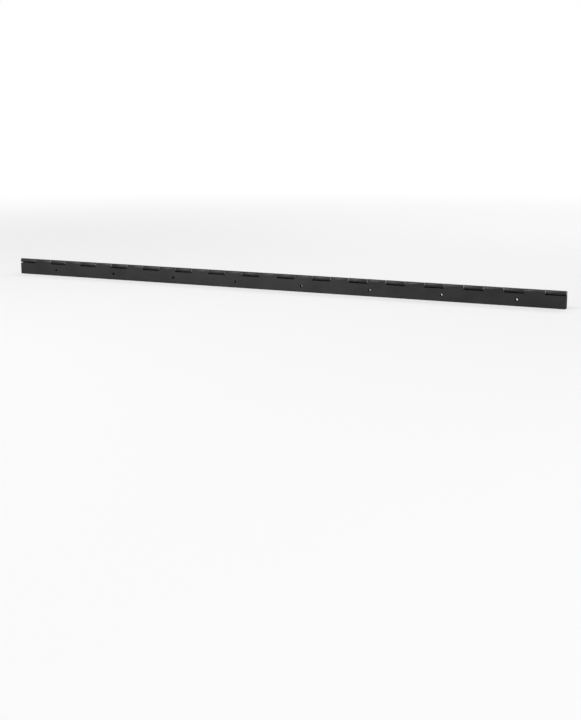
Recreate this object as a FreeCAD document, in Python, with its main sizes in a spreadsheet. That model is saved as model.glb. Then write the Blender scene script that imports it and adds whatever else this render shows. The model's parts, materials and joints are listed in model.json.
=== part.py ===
import FreeCAD, Part
import math
import os

import Sketcher

# A continuous (piano) hinge for the fold line of a worktop that drops down.
#
# Two strips of steel sheet are notched along one edge, rolled into interleaved
# knuckles and threaded on one pin, whose ends are peened over the end knuckles.
# The hinge is modelled shut: both leaves hang down from the pin, face to face.
#
# Axes: X runs along the pin, +Y points at the frame rail and +Z is up.
# Origin: the middle of the frame leaf's row of screw holes, on its mounting face.
# Each body is drawn about the pin axis, and its Placement then moves it there.

SIZES = (
    ("hinge_length", "1240", "both leaves, and the pin between its heads"),
    ("leaf_width", "30", "from the pin axis to the free edge of a leaf"),
    ("sheet_thickness", "2", "the sheet that the leaves are rolled from"),
    ("corner_radius", "2", "the free corners of a leaf"),
    ("pin_diameter", "5", "the pin between its heads"),
    ("running_clearance", "0.05", "from the pin to the bore of a knuckle, all round"),
    ("knuckle_pitch", "40", "a knuckle and the play beside it"),
    ("knuckle_gap", "0.5", "the play between two neighbouring knuckles"),
    ("notch_clearance", "0.45", "from a barrel to the floor of the notch it turns in"),
    ("seam_gap", "0.3", "from the end of the roll to the face that it curls back to"),
    ("head_diameter", "7.6", "the pin's peened heads"),
    ("head_height", "1.4", "the pin's peened heads"),
    ("hole_diameter", "5", "the screw holes"),
    ("hole_pitch", "150", "from one screw hole to the next"),
    ("countersink_diameter", "8.5", "the screw holes, at the inner face of the leaf"),
    ("countersink_angle", "90", "the screw holes, as an included angle in degrees"),
)

# Sizes that follow from the sheet, as expressions over its cells.
PIN_RADIUS = "(sizes.pin_diameter / 2)"
BORE_RADIUS = f"({PIN_RADIUS} + sizes.running_clearance)"
BARREL_RADIUS = f"({BORE_RADIUS} + sizes.sheet_thickness)"
HALF_LENGTH = "(sizes.hinge_length / 2)"

# The roll starts level with the pin axis, in line with the leaf, and goes over the
# top until its outer corner is a seam gap short of the leaf's inner face.
ROLL_ANGLE = f"(360 deg - acos(({BORE_RADIUS} - sizes.seam_gap) / {BARREL_RADIUS}))"

# One knuckle of the worktop leaf stands in each notch of the frame leaf. The frame
# leaf has one knuckle more, and its end knuckles take what is left of the length.
WORKTOP_KNUCKLES = "floor((sizes.hinge_length / sizes.knuckle_pitch - 1) / 2)"
NOTCH_DEPTH = f"({BARREL_RADIUS} + sizes.notch_clearance)"
NOTCH_WIDTH = "(sizes.knuckle_pitch + sizes.knuckle_gap)"
LAST_WORKTOP_KNUCKLE = f"(({WORKTOP_KNUCKLES} - 0.5) * sizes.knuckle_pitch - sizes.knuckle_gap / 2)"

# The row of holes is centred on the length and on the flat below the notches.
HOLE_COUNT = "(2 * floor(sizes.hinge_length / sizes.hole_pitch / 2))"
LAST_HOLE = f"(({HOLE_COUNT} - 1) / 2 * sizes.hole_pitch)"
HOLE_ROW = f"(({NOTCH_DEPTH} + sizes.leaf_width) / 2)"

# How a sketch numbers its own origin and across axis, and the points of an edge.
ORIGIN = (-1, 1)
ACROSS = -1
START, END, CENTRE = range(1, 4)

NORMAL = FreeCAD.Vector(0, 0, 1)
FULL_TURN = 360
TOUCH = 1e-4


def make_sheet(doc):
    """The spreadsheet of driving dimensions, one named row for each."""
    sheet = doc.addObject("Spreadsheet::Sheet", "sizes")
    for row, (alias, number, meaning) in enumerate(SIZES, start=1):
        sheet.set(f"A{row}", alias)
        sheet.set(f"B{row}", number)
        sheet.set(f"C{row}", meaning)
        sheet.setAlias(f"B{row}", alias)
    doc.recompute()
    return sheet


def value(expression):
    """What an expression over the sheet comes to, in millimetres or degrees."""
    return float(sizes.evalExpression(expression))


def point(across, up):
    """A sketch point at two expressions."""
    return FreeCAD.Vector(value(across), value(up), 0)


def polar(radius, angle):
    """A sketch point at a radius and an angle about the origin, as expressions."""
    return point(f"{radius} * cos({angle})", f"{radius} * sin({angle})")


def origin_item(body, role):
    """One of the body's own origin planes or axes."""
    return next(item for item in body.Origin.OriginFeatures if item.Role == role)


def new_sketch(body, name, plane):
    """A sketch on one of the body's own origin planes."""
    sketch = body.newObject("Sketcher::SketchObject", name)
    sketch.AttachmentSupport = [(origin_item(body, plane), "")]
    sketch.MapMode = "FlatFace"
    return sketch


def hold(sketch, kind, *places):
    """A constraint without a dimension."""
    sketch.addConstraint(Sketcher.Constraint(kind, *places))


def tie(sketch, name, expression, kind, *places):
    """A constraint with a dimension, which is bound to the sheet."""
    index = sketch.addConstraint(Sketcher.Constraint(kind, *places, value(expression)))
    sketch.renameConstraint(index, name)
    sketch.setExpression(f"Constraints.{name}", expression)


def draw_rectangle(sketch, left, width, half_height):
    """A rectangle from a distance left of it, as high above the across axis as below."""
    right = f"({left} + {width})"
    corners = (
        point(left, f"-{half_height}"),
        point(right, f"-{half_height}"),
        point(right, half_height),
        point(left, half_height),
    )
    for side in range(4):
        sketch.addGeometry(Part.LineSegment(corners[side], corners[(side + 1) % 4]))
    for side in range(4):
        hold(sketch, "Coincident", side, END, (side + 1) % 4, START)
    bottom, right_side, top, left_side = range(4)
    hold(sketch, "Horizontal", bottom)
    hold(sketch, "Horizontal", top)
    hold(sketch, "Vertical", right_side)
    hold(sketch, "Vertical", left_side)
    tie(sketch, "left", left, "DistanceX", *ORIGIN, bottom, START)
    tie(sketch, "width", width, "DistanceX", bottom, START, bottom, END)
    tie(sketch, "below", half_height, "DistanceY", bottom, START, *ORIGIN)
    tie(sketch, "above", half_height, "DistanceY", *ORIGIN, top, START)


def draw_rolled_section(sketch):
    """The section of a leaf: flat sheet that runs up into a roll about the pin."""
    inner_foot = point(BORE_RADIUS, "-sizes.leaf_width")
    outer_foot = point(BARREL_RADIUS, "-sizes.leaf_width")
    inner_top = point(BORE_RADIUS, "0")
    outer_top = point(BARREL_RADIUS, "0")
    turn = math.radians(value(ROLL_ANGLE))
    bore = Part.Circle(FreeCAD.Vector(), NORMAL, value(BORE_RADIUS))
    barrel = Part.Circle(FreeCAD.Vector(), NORMAL, value(BARREL_RADIUS))

    inner_face = sketch.addGeometry(Part.LineSegment(inner_foot, inner_top))
    inside = sketch.addGeometry(Part.ArcOfCircle(bore, 0, turn))
    roll_end = sketch.addGeometry(
        Part.LineSegment(polar(BORE_RADIUS, ROLL_ANGLE), polar(BARREL_RADIUS, ROLL_ANGLE))
    )
    outside = sketch.addGeometry(Part.ArcOfCircle(barrel, 0, turn))
    mounting_face = sketch.addGeometry(Part.LineSegment(outer_top, outer_foot))
    free_edge = sketch.addGeometry(Part.LineSegment(outer_foot, inner_foot))

    hold(sketch, "Coincident", inner_face, END, inside, START)
    hold(sketch, "Coincident", inside, END, roll_end, START)
    hold(sketch, "Coincident", roll_end, END, outside, END)
    hold(sketch, "Coincident", outside, START, mounting_face, START)
    hold(sketch, "Coincident", mounting_face, END, free_edge, START)
    hold(sketch, "Coincident", free_edge, END, inner_face, START)
    hold(sketch, "Coincident", inside, CENTRE, *ORIGIN)
    hold(sketch, "Coincident", outside, CENTRE, *ORIGIN)
    hold(sketch, "PointOnObject", inner_face, END, ACROSS)
    hold(sketch, "PointOnObject", mounting_face, START, ACROSS)
    hold(sketch, "Vertical", inner_face)
    hold(sketch, "Vertical", mounting_face)
    hold(sketch, "Horizontal", free_edge)
    hold(sketch, "PointOnObject", *ORIGIN, roll_end)
    tie(sketch, "bore_radius", BORE_RADIUS, "Radius", inside)
    tie(sketch, "thickness", "sizes.sheet_thickness", "DistanceX", free_edge, END, free_edge, START)
    tie(sketch, "leaf_width", "sizes.leaf_width", "DistanceY", free_edge, END, *ORIGIN)
    tie(sketch, "seam", "sizes.seam_gap", "DistanceX", roll_end, END, inner_face, END)


def draw_head_section(sketch):
    """Half the section of a peened head: a low dome on the end knuckle's face."""
    head_radius = "(sizes.head_diameter / 2)"
    dome_radius = f"(({head_radius}^2 + sizes.head_height^2) / (2 * sizes.head_height))"
    crown = point(f"{HALF_LENGTH} + sizes.head_height", "0")
    seat = point(HALF_LENGTH, "0")
    rim = point(HALF_LENGTH, head_radius)
    middle = point(f"{HALF_LENGTH} + sizes.head_height - {dome_radius}", "0")
    sphere = Part.Circle(middle, NORMAL, value(dome_radius))
    rise = math.radians(value(f"asin({head_radius} / {dome_radius})"))

    axis = sketch.addGeometry(Part.LineSegment(seat, crown))
    dome = sketch.addGeometry(Part.ArcOfCircle(sphere, 0, rise))
    underside = sketch.addGeometry(Part.LineSegment(rim, seat))

    hold(sketch, "Coincident", axis, END, dome, START)
    hold(sketch, "Coincident", dome, END, underside, START)
    hold(sketch, "Coincident", underside, END, axis, START)
    hold(sketch, "PointOnObject", axis, START, ACROSS)
    hold(sketch, "PointOnObject", axis, END, ACROSS)
    hold(sketch, "PointOnObject", dome, CENTRE, ACROSS)
    hold(sketch, "Vertical", underside)
    tie(sketch, "seat", HALF_LENGTH, "DistanceX", *ORIGIN, axis, START)
    tie(sketch, "height", "sizes.head_height", "DistanceX", axis, START, axis, END)
    tie(sketch, "radius", head_radius, "DistanceY", axis, START, underside, START)


def pad_along_pin(body, name, sketch):
    """Extrudes a section over the hinge's length, half of it to each side."""
    pad = body.newObject("PartDesign::Pad", name)
    pad.Profile = sketch
    pad.SideType = "Symmetric"
    pad.setExpression("Length", "sizes.hinge_length")
    sketch.Document.recompute()
    return pad


def repeat(body, name, feature, count, step):
    """Copies a feature towards -X, count times in all and a step apart."""
    pattern = body.newObject("PartDesign::LinearPattern", name)
    pattern.Originals = [feature]
    pattern.Direction = (origin_item(body, "X_Axis"), [""])
    pattern.Reversed = True
    pattern.Mode = "Spacing"
    pattern.setExpression("Offset", step)
    pattern.setExpression("Occurrences", count)
    body.Tip = pattern
    body.Document.recompute()
    return pattern


def mirror(body, name, feature):
    """Copies a feature to the other end of the hinge."""
    copy = body.newObject("PartDesign::Mirrored", name)
    copy.Originals = [feature]
    copy.MirrorPlane = (origin_item(body, "YZ_Plane"), [""])
    body.Tip = copy
    body.Document.recompute()
    return copy


def round_free_corners(body, blank):
    """Rounds the two corners of a leaf that lie away from the pin."""
    bottom = blank.Shape.BoundBox.ZMin
    corners = []
    for number, edge in enumerate(blank.Shape.Edges, start=1):
        box = edge.BoundBox
        across_the_sheet = box.XLength < TOUCH and box.ZLength < TOUCH
        if across_the_sheet and box.ZMax < bottom + TOUCH:
            corners.append(f"Edge{number}")
    fillet = body.newObject("PartDesign::Fillet", "free_corners")
    fillet.Base = (blank, corners)
    fillet.setExpression("Radius", "sizes.corner_radius")
    body.Document.recompute()


def cut_window(body, name, left, width):
    """Cuts the roll and the sheet beside it away over a width along the pin."""
    sketch = new_sketch(body, f"{name}_outline", "XZ_Plane")
    draw_rectangle(sketch, left, width, NOTCH_DEPTH)
    pocket = body.newObject("PartDesign::Pocket", name)
    pocket.Profile = sketch
    pocket.Type = "ThroughAll"
    pocket.SideType = "Symmetric"
    body.Document.recompute()
    return pocket


def cut_notches(body, count):
    """Cuts a row of notches, centred on the length, with a knuckle left between two."""
    left = f"(({count} - 1) * sizes.knuckle_pitch - {NOTCH_WIDTH} / 2)"
    notch = cut_window(body, "notch", left, NOTCH_WIDTH)
    repeat(body, "notches", notch, count, "2 * sizes.knuckle_pitch")


def cut_ends(body):
    """Clears the worktop leaf's rolled edge where the frame leaf's end knuckles are."""
    width = f"({HALF_LENGTH} + sizes.knuckle_gap - {LAST_WORKTOP_KNUCKLE})"
    end = cut_window(body, "end_notch", LAST_WORKTOP_KNUCKLE, width)
    mirror(body, "end_notches", end)


def drill_holes(body):
    """Drills the row of screw holes, countersunk from the inner face of the leaf."""
    sketch = new_sketch(body, "hole_centre", "XZ_Plane")
    sketch.setExpression(".AttachmentOffset.Base.z", f"-{BORE_RADIUS}")
    centre = point(LAST_HOLE, f"-{HOLE_ROW}")
    circle = sketch.addGeometry(Part.Circle(centre, NORMAL, value("sizes.hole_diameter / 2")))
    tie(sketch, "along", LAST_HOLE, "DistanceX", *ORIGIN, circle, CENTRE)
    tie(sketch, "below", HOLE_ROW, "DistanceY", circle, CENTRE, *ORIGIN)
    tie(sketch, "diameter", "sizes.hole_diameter", "Diameter", circle)
    hole = body.newObject("PartDesign::Hole", "screw_hole")
    hole.Profile = sketch
    body.Document.recompute()
    hole.ThreadType = "None"
    hole.DepthType = "ThroughAll"
    hole.HoleCutType = "Countersink"
    hole.HoleCutCustomValues = True
    hole.setExpression("Diameter", "sizes.hole_diameter")
    hole.setExpression("HoleCutDiameter", "sizes.countersink_diameter")
    hole.setExpression("HoleCutCountersinkAngle", "sizes.countersink_angle")
    body.Document.recompute()
    repeat(body, "screw_holes", hole, HOLE_COUNT, "sizes.hole_pitch")


def place(body, turn):
    """Turns a body about the upright through its pin axis and moves it to its place."""
    body.Placement = FreeCAD.Placement(FreeCAD.Vector(), FreeCAD.Rotation(NORMAL, turn))
    body.setExpression(".Placement.Base.y", f"-{BARREL_RADIUS}")
    body.setExpression(".Placement.Base.z", HOLE_ROW)


def start_leaf(doc, label):
    """A leaf with its roll all along and its free corners rounded."""
    body = doc.addObject("PartDesign::Body", label)
    section = new_sketch(body, "section", "YZ_Plane")
    draw_rolled_section(section)
    round_free_corners(body, pad_along_pin(body, "blank", section))
    return body


def make_frame_leaf(doc):
    """The leaf that is screwed to the frame rail, with both end knuckles."""
    body = start_leaf(doc, "frame_leaf")
    cut_notches(body, WORKTOP_KNUCKLES)
    drill_holes(body)
    place(body, 0)
    return body


def make_worktop_leaf(doc):
    """The leaf that is screwed to the worktop, facing the other one."""
    body = start_leaf(doc, "worktop_leaf")
    cut_notches(body, f"({WORKTOP_KNUCKLES} - 1)")
    cut_ends(body)
    drill_holes(body)
    place(body, FULL_TURN / 2)
    return body


def make_hinge_pin(doc):
    """The pin, with both ends peened into heads that keep it in the end knuckles."""
    body = doc.addObject("PartDesign::Body", "hinge_pin")
    section = new_sketch(body, "section", "YZ_Plane")
    circle = section.addGeometry(Part.Circle(FreeCAD.Vector(), NORMAL, value(PIN_RADIUS)))
    hold(section, "Coincident", circle, CENTRE, *ORIGIN)
    tie(section, "diameter", "sizes.pin_diameter", "Diameter", circle)
    pad_along_pin(body, "shank", section)
    head_section = new_sketch(body, "head_section", "XZ_Plane")
    draw_head_section(head_section)
    head = body.newObject("PartDesign::Revolution", "head")
    head.Profile = head_section
    head.ReferenceAxis = (origin_item(body, "X_Axis"), [""])
    head.Angle = FULL_TURN
    doc.recompute()
    mirror(body, "other_head", head)
    place(body, 0)
    return body


def check_document(doc):
    """Stops the build if a feature failed or a cutting feature removed nothing."""
    cutting = ("PartDesign::Pocket", "PartDesign::Hole")
    for item in doc.Objects:
        if {"Invalid", "Error"} & set(item.State):
            raise RuntimeError(f"{item.Name} of {item.Label} failed: {item.State}")
        if item.TypeId in cutting and item.Shape.Volume >= item.BaseFeature.Shape.Volume:
            raise RuntimeError(f"{item.Name} removes nothing")


def export(body):
    """Writes one piece to its own file, once it is one valid solid."""
    shape = body.Shape
    if shape.isNull() or not shape.isValid() or len(shape.Solids) != 1:
        raise RuntimeError(f"{body.Label} is not one valid solid")
    shape.exportStep(f"parts/{body.Label}.step")
    print(f"{body.Label}: {shape.Volume:.1f} mm3, {len(shape.Faces)} faces")


document = FreeCAD.newDocument("piano_hinge")
sizes = make_sheet(document)
pieces = [make_frame_leaf(document), make_worktop_leaf(document), make_hinge_pin(document)]
document.recompute()
check_document(document)
os.makedirs("parts", exist_ok=True)
for piece in pieces:
    export(piece)
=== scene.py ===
import json
import math

import bpy
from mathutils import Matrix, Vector


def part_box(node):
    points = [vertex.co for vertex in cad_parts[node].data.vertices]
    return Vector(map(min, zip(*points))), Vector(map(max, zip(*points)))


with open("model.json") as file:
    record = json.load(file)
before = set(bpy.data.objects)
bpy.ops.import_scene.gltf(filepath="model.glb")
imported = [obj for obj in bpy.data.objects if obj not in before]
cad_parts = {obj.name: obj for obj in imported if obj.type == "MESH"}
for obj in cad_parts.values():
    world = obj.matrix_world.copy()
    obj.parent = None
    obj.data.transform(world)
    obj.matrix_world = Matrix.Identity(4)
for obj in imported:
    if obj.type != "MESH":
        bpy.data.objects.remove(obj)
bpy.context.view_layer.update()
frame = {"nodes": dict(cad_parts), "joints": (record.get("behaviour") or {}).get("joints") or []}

# Everything is in metres, in the CAD part's frame: X along the pin, +Y towards the rail, +Z up.
MM = 0.001
KNUCKLES = 31  # as many as the CAD part has
leaf_low, leaf_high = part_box("frame_leaf")
pin_axis = Vector(frame["joints"][0]["pos_m"])
barrel_radius = leaf_high.z - pin_axis.z
knuckle_pitch = (leaf_high.x - leaf_low.x) / KNUCKLES


# ---------------------------------------------------------------- shader graphs

class Graph:
    """The nodes of a material or world, with short ways to add and join them."""

    def __init__(self, owner, output_kind="ShaderNodeOutputMaterial"):
        self.owner = owner
        self.owner.use_nodes = True
        self.nodes = self.owner.node_tree.nodes
        self.links = self.owner.node_tree.links
        self.nodes.clear()
        self.output = self.nodes.new(output_kind)

    def add(self, kind, **settings):
        node = self.nodes.new(kind)
        for name, setting in settings.items():
            setattr(node, name, setting)
        return node

    def feed(self, socket, source):
        """Sets a socket to a value, or joins it to another node's socket."""
        if isinstance(source, bpy.types.NodeSocket):
            self.links.new(source, socket)
        else:
            socket.default_value = source

    def calculate(self, operation, first, second=0.0):
        node = self.add("ShaderNodeMath", operation=operation)
        self.feed(node.inputs[0], first)
        self.feed(node.inputs[1], second)
        return node.outputs[0]

    def product(self, *sources):
        result = sources[0]
        for source in sources[1:]:
            result = self.calculate("MULTIPLY", result, source)
        return result

    def step(self, source, low, high, start=0.0, end=1.0):
        """A smooth step: start where source is below low, and end where it is above high."""
        node = self.add("ShaderNodeMapRange", interpolation_type="SMOOTHSTEP")
        sockets = ("Value", "From Min", "From Max", "To Min", "To Max")
        for name, fed in zip(sockets, (source, low, high, start, end)):
            self.feed(node.inputs[name], fed)
        return node.outputs["Result"]

    def place(self):
        """Where a point of the piece lies at rest, in metres."""
        return self.add("ShaderNodeTexCoord").outputs["Object"]

    def along_and_up(self, where):
        """The X and the Z of a place."""
        node = self.add("ShaderNodeSeparateXYZ")
        self.feed(node.inputs[0], where)
        return node.outputs["X"], node.outputs["Z"]

    def stretched(self, where, scale):
        """A place multiplied axis by axis: a small scale draws a pattern out along that axis."""
        node = self.add("ShaderNodeVectorMath", operation="MULTIPLY")
        self.feed(node.inputs[0], where)
        self.feed(node.inputs[1], scale)
        return node.outputs["Vector"]

    def distance(self, where, point):
        node = self.add("ShaderNodeVectorMath", operation="DISTANCE")
        self.feed(node.inputs[0], where)
        self.feed(node.inputs[1], point)
        return node.outputs["Value"]

    def noise(self, where, scale, detail, roughness):
        """Smooth noise around 0.5, with about as many features to a metre as its scale says."""
        node = self.add("ShaderNodeTexNoise")
        self.feed(node.inputs["Vector"], where)
        self.feed(node.inputs["Scale"], scale)
        self.feed(node.inputs["Detail"], detail)
        self.feed(node.inputs["Roughness"], roughness)
        return node.outputs["Fac"]

    def streaks(self, where, scales, detail, roughness):
        """Noise with a scale of its own along each axis."""
        return self.noise(self.stretched(where, scales), 1.0, detail, roughness)

    def colour(self, factor, first, second):
        """A mix of two colours. A Mix node has its colour sockets after those for numbers."""
        node = self.add("ShaderNodeMix", data_type="RGBA")
        factor_socket, first_socket, second_socket = (node.inputs[i] for i in (0, 6, 7))
        self.feed(factor_socket, factor)
        self.feed(first_socket, first)
        self.feed(second_socket, second)
        return node.outputs[2]

    def bump(self, height, strength, depth, under=None):
        """A normal from a height, on top of the bumps under it."""
        node = self.add("ShaderNodeBump")
        self.feed(node.inputs["Strength"], strength)
        self.feed(node.inputs["Distance"], depth)
        self.feed(node.inputs["Height"], height)
        if under is not None:
            self.feed(node.inputs["Normal"], under)
        return node.outputs["Normal"]

    def shader(self, kind, **sockets):
        """A shader node with these sockets set or joined."""
        node = self.add(kind)
        for name, source in sockets.items():
            self.feed(node.inputs[name.replace("_", " ")], source)
        return node.outputs[0]

    def seen_directly(self):
        """1 for the rays that show the backdrop itself: the camera's, reflected and refracted ones."""
        path = self.add("ShaderNodeLightPath")
        bent = self.calculate("MAXIMUM", path.outputs["Is Glossy Ray"], path.outputs["Is Transmission Ray"])
        return self.calculate("MAXIMUM", path.outputs["Is Camera Ray"], bent)

    def finish(self, shader):
        """Ends the graph in this shader, and gives back the material or world."""
        self.links.new(shader, self.output.inputs["Surface"])
        return self.owner


def grey(level, warmth=0.0):
    """A neutral colour, a little warmer or cooler."""
    return (level * (1 + warmth), level, level * (1 - warmth), 1)


# ---------------------------------------------------------------- finishes

DEEP_BLACK = grey(0.006, 0.03)
FADED_BLACK = grey(0.010, -0.02)
DUST = grey(0.04, 0.05)
THIN_COAT = grey(0.055, 0.02)
DARK_RUBBED_STEEL = grey(0.2, 0.03)
BRIGHT_RUBBED_STEEL = grey(0.38)
PIN_STEEL = grey(0.5)
STAINED_STEEL = grey(0.25, 0.06)

# Patterns of noise. Streaks have a scale for each axis, and the smallest one is along the pin.
CLOUDS = dict(scale=22.0, detail=4.0, roughness=0.55)
SPECKS = dict(scale=1600.0, detail=2.0, roughness=0.5)
ORANGE_PEEL = dict(scale=900.0, detail=2.0, roughness=0.45)
SMEARS = dict(scales=(35.0, 260.0, 260.0), detail=5.0, roughness=0.65)
WORN_PATCHES = dict(scale=130.0, detail=2.0, roughness=0.5)
RAGGED_EDGE = dict(scale=1100.0, detail=4.0, roughness=0.6)
STEEL_GRAIN = dict(scale=600.0, detail=3.0, roughness=0.5)
DRAWN_LINES = dict(scales=(60.0, 4000.0, 4000.0), detail=3.0, roughness=0.6)
STAINS = dict(scale=700.0, detail=4.0, roughness=0.6)
HAMMER_FACETS = 900.0  # about this many facets to a metre

PEEL_DEPTH = 0.12 * MM
COAT_THICKNESS = 0.05 * MM
FACET_DEPTH = 0.12 * MM
DRAWN_LINE_DEPTH = 0.02 * MM
THIN_EDGE = 0.5 * MM  # how far up from its free edge a leaf's coat is thin

# The coat is rubbed off up to a patchy and a ragged distance, added, from each joint of two knuckles.
PATCHY_REACH = (0.05 * MM, 0.3 * MM)
RAGGED_REACH = (0.22 * MM, 0.5 * MM)
WEAR_BLUR = 0.08 * MM
FULL_WEAR = 0.1 * MM   # the wear is full up to here outside the barrel
NO_WEAR = 0.5 * MM     # and there is none from here outwards
END_MARGIN = 2 * MM    # how much of the hinge's own ends keeps its coat


def from_pin_axis(graph, where):
    """How far a point lies from the pin axis, which runs along X."""
    beside = graph.stretched(where, (0.0, 1.0, 1.0))
    return graph.distance(beside, (0.0, pin_axis.y, pin_axis.z))


def from_knuckle_joint(graph, along):
    """How far a point lies from the nearest joint between two knuckles, along the pin.

    The middle knuckle is centred on the origin, so the joints are half a pitch from whole pitches.
    """
    turn = graph.calculate("FRACT", graph.calculate("DIVIDE", along, knuckle_pitch))
    off_joint = graph.calculate("ABSOLUTE", graph.calculate("SUBTRACT", turn, 0.5))
    return graph.product(off_joint, knuckle_pitch)


def knuckle_wear(graph, where, along):
    """1 where the ends of the knuckles have rubbed through the coat, on the barrel only."""
    radius = from_pin_axis(graph, where)
    on_barrel = graph.step(
        radius, barrel_radius + FULL_WEAR, barrel_radius + NO_WEAR, start=1.0, end=0.0)
    patchy = graph.step(graph.noise(where, **WORN_PATCHES), 0.38, 0.62, *PATCHY_REACH)
    ragged = graph.step(graph.noise(where, **RAGGED_EDGE), 0.35, 0.7, *RAGGED_REACH)
    reach = graph.calculate("ADD", patchy, ragged)
    within_reach = graph.calculate("SUBTRACT", reach, from_knuckle_joint(graph, along))
    near_joint = graph.step(within_reach, 0.0, WEAR_BLUR)
    off_middle = graph.calculate("ABSOLUTE", along)
    between_ends = graph.calculate("LESS_THAN", off_middle, leaf_high.x - END_MARGIN)
    return graph.product(near_joint, on_barrel, between_ends)


def black_coat():
    """Satin black powder coat with a fine orange peel, rubbed through at the knuckle ends."""
    graph = Graph(bpy.data.materials.new("black_coat_finish"))
    where = graph.place()
    along, up = graph.along_and_up(where)
    clouds = graph.noise(where, **CLOUDS)
    specks = graph.noise(where, **SPECKS)
    smears = graph.streaks(where, **SMEARS)

    coat = graph.colour(graph.step(clouds, 0.35, 0.68), DEEP_BLACK, FADED_BLACK)
    dusty = graph.colour(graph.step(specks, 0.64, 0.8, end=0.3), coat, DUST)
    on_edge = graph.step(up, leaf_low.z, leaf_low.z + THIN_EDGE, start=1.0, end=0.0)
    thin = graph.product(on_edge, graph.step(smears, 0.4, 0.6, start=0.1, end=0.7))
    edged = graph.colour(thin, dusty, THIN_COAT)

    satin = graph.step(clouds, 0.3, 0.7, start=0.27, end=0.35)
    smeared = graph.calculate("ADD", satin, graph.step(smears, 0.5, 0.72, end=0.12))
    speckled = graph.calculate("ADD", smeared, graph.step(specks, 0.5, 0.8, end=0.1))

    worn = knuckle_wear(graph, where, along)
    grain = graph.noise(where, **STEEL_GRAIN)
    rubbed_steel = graph.colour(grain, DARK_RUBBED_STEEL, BRIGHT_RUBBED_STEEL)
    peel = graph.bump(graph.noise(where, **ORANGE_PEEL), strength=0.6, depth=PEEL_DEPTH)
    coated = graph.calculate("SUBTRACT", 1.0, worn)
    relief = graph.bump(coated, strength=0.5, depth=COAT_THICKNESS, under=peel)
    return graph.finish(graph.shader(
        "ShaderNodeBsdfPrincipled",
        Base_Color=graph.colour(worn, edged, rubbed_steel),
        Metallic=worn,
        Roughness=speckled,
        Specular_IOR_Level=0.3,
        Normal=relief,
    ))


def pin_steel():
    """Drawn steel with fine lines along the pin, and hammer facets on the peened heads."""
    graph = Graph(bpy.data.materials.new("pin_steel_finish"))
    where = graph.place()
    lines = graph.streaks(where, **DRAWN_LINES)
    stains = graph.noise(where, **STAINS)
    facet = graph.add("ShaderNodeTexVoronoi", feature="SMOOTH_F1")
    graph.feed(facet.inputs["Vector"], where)
    graph.feed(facet.inputs["Scale"], HAMMER_FACETS)
    facets = graph.bump(facet.outputs["Distance"], strength=0.35, depth=FACET_DEPTH)
    relief = graph.bump(lines, strength=0.2, depth=DRAWN_LINE_DEPTH, under=facets)
    return graph.finish(graph.shader(
        "ShaderNodeBsdfPrincipled",
        Base_Color=graph.colour(graph.step(stains, 0.3, 0.75), PIN_STEEL, STAINED_STEEL),
        Metallic=1.0,
        Roughness=graph.step(stains, 0.3, 0.7, start=0.24, end=0.42),
        Normal=relief,
    ))


# ---------------------------------------------------------------- the CAD pieces

LEAF_EDGE_ROUNDING = 0.18 * MM
PIN_EDGE_ROUNDING = 0.15 * MM
SAME_POINT = 0.001 * MM
FLAT_WITHIN = math.radians(1)
SHARP_FROM = math.radians(35)


def soften_edges(piece, width):
    """Merges a CAD piece's flat facets and rounds its edges, by modifiers alone."""
    weld = piece.modifiers.new("weld", "WELD")
    weld.merge_threshold = SAME_POINT
    flats = piece.modifiers.new("flats", "DECIMATE")
    flats.decimate_type = "DISSOLVE"
    flats.angle_limit = FLAT_WITHIN
    bevel = piece.modifiers.new("bevel", "BEVEL")
    bevel.width = width
    bevel.segments = 2
    bevel.limit_method = "ANGLE"
    bevel.angle_limit = SHARP_FROM
    bevel.harden_normals = True
    bevel.miter_outer = "MITER_ARC"


def finish_piece(name, material, width):
    piece = frame["nodes"][name]
    piece.data.materials.clear()
    piece.data.materials.append(material)
    soften_edges(piece, width)


coat = black_coat()
finish_piece("frame_leaf", coat, LEAF_EDGE_ROUNDING)
finish_piece("worktop_leaf", coat, LEAF_EDGE_ROUNDING)
finish_piece("hinge_pin", pin_steel(), PIN_EDGE_ROUNDING)


# ---------------------------------------------------------------- stage, lights and camera

BACKDROP = 1.0           # how bright the backdrop is where it is seen: 1 is white
SURROUNDINGS = 0.34      # how bright the surroundings are as a light
FLOOR_REACH = 30.0
FLOOR_GAP = 0.05 * MM    # how far below the hinge the floor lies
PART_WHITE = 0.4         # how much of the floor's look is plain white near the hinge
PART_WHITE_TO = 0.5      # this far from the middle of the hinge
PLAIN_WHITE_FROM = 3.0   # the floor is plain white from here outwards


def white_floor():
    """A pale matt floor that turns into plain white far away, so that no horizon shows."""
    graph = Graph(bpy.data.materials.new("white_floor"))
    from_middle = graph.distance(graph.place(), (0.0, 0.0, 0.0))
    whiteness = graph.step(from_middle, PART_WHITE_TO, PLAIN_WHITE_FROM, start=PART_WHITE)
    matt = graph.shader("ShaderNodeBsdfPrincipled", Base_Color=grey(0.82), Roughness=0.85)
    white = graph.shader("ShaderNodeEmission", Strength=BACKDROP)
    mixed = graph.add("ShaderNodeMixShader")
    graph.feed(mixed.inputs[0], graph.product(graph.seen_directly(), whiteness))
    graph.feed(mixed.inputs[1], matt)
    graph.feed(mixed.inputs[2], white)
    return graph.finish(mixed.outputs[0])


def make_floor():
    mesh = bpy.data.meshes.new("floor")
    corners = [(x * FLOOR_REACH, y * FLOOR_REACH, 0) for x, y in ((-1, -1), (1, -1), (1, 1), (-1, 1))]
    mesh.from_pydata(corners, [], [(0, 1, 2, 3)])
    mesh.materials.append(white_floor())
    floor = bpy.data.objects.new("floor", mesh)
    floor.location = (0, 0, leaf_low.z - FLOOR_GAP)
    bpy.context.scene.collection.objects.link(floor)


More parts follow.
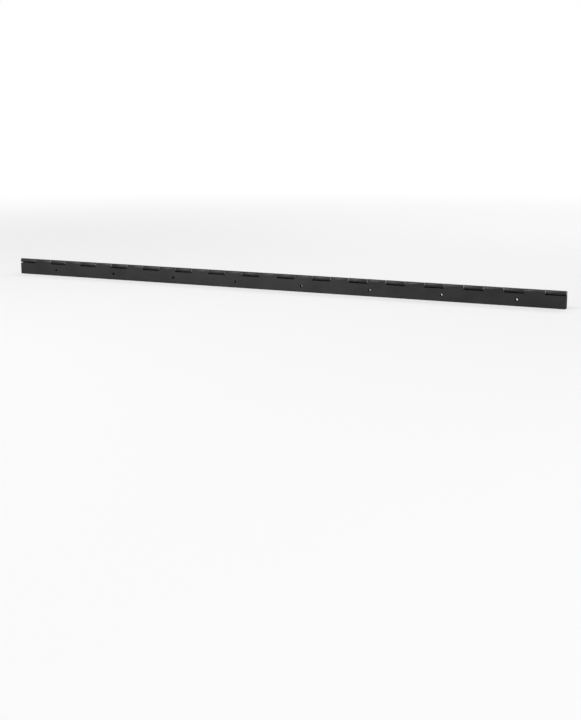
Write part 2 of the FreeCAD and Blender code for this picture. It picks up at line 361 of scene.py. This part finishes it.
def make_world():
    """Even white surroundings: dimmer as a light than as a background."""
    graph = Graph(bpy.data.worlds.new("studio"), "ShaderNodeOutputWorld")
    strength = graph.add("ShaderNodeMapRange")
    graph.feed(strength.inputs["Value"], graph.seen_directly())
    graph.feed(strength.inputs["To Min"], SURROUNDINGS)
    graph.feed(strength.inputs["To Max"], BACKDROP)
    white = graph.shader("ShaderNodeBackground", Color=grey(1.0), Strength=strength.outputs["Result"])
    bpy.context.scene.world = graph.finish(white)


def make_lamp(name, place, width, height, watts):
    """A soft rectangular lamp that points at the middle of the hinge."""
    data = bpy.data.lights.new(name, "AREA")
    data.shape = "RECTANGLE"
    data.size = width
    data.size_y = height
    data.energy = watts
    lamp = bpy.data.objects.new(name, data)
    lamp.location = place
    lamp.rotation_mode = "QUATERNION"
    lamp.rotation_quaternion = (-Vector(place)).to_track_quat("-Z", "Y")
    bpy.context.scene.collection.objects.link(lamp)


def make_camera():
    """The camera stands to the right of the hinge and a little above it, and looks further down.

    Azimuth and elevation say where it stands, seen from the pin's middle. Heading and pitch say
    which way it looks.
    """
    azimuth = math.radians(25.36)
    elevation = math.radians(7.7)
    distance = 2.659
    heading = math.radians(24.38)
    pitch = math.radians(11.5)
    out = math.cos(elevation) * distance
    rise = math.sin(elevation) * distance
    away = Vector((math.sin(azimuth) * out, -math.cos(azimuth) * out, rise))
    data = bpy.data.cameras.new("camera")
    data.sensor_width = 36.0
    data.lens = 63.9
    data.clip_start = 0.01
    camera = bpy.data.objects.new("camera", data)
    camera.location = pin_axis + away
    camera.rotation_euler = (math.pi / 2 - pitch, 0, heading)
    bpy.context.scene.collection.objects.link(camera)
    bpy.context.scene.camera = camera


make_floor()
make_world()
make_lamp("key", (-1.2, -2.0, 2.2), width=1.2, height=0.8, watts=34)
make_lamp("fill", (2.2, -1.6, 1.0), width=1.2, height=1.2, watts=18)
make_lamp("rim", (0.4, 1.9, 1.4), width=2.0, height=0.6, watts=16)
make_lamp("overhead", (0, -0.5, 2.0), width=2.4, height=0.5, watts=10)
make_lamp("sheen", (-1.14, -2.38, 0.42), width=1.0, height=0.8, watts=15)
make_camera()
bpy.context.scene.view_settings.view_transform = "Standard"
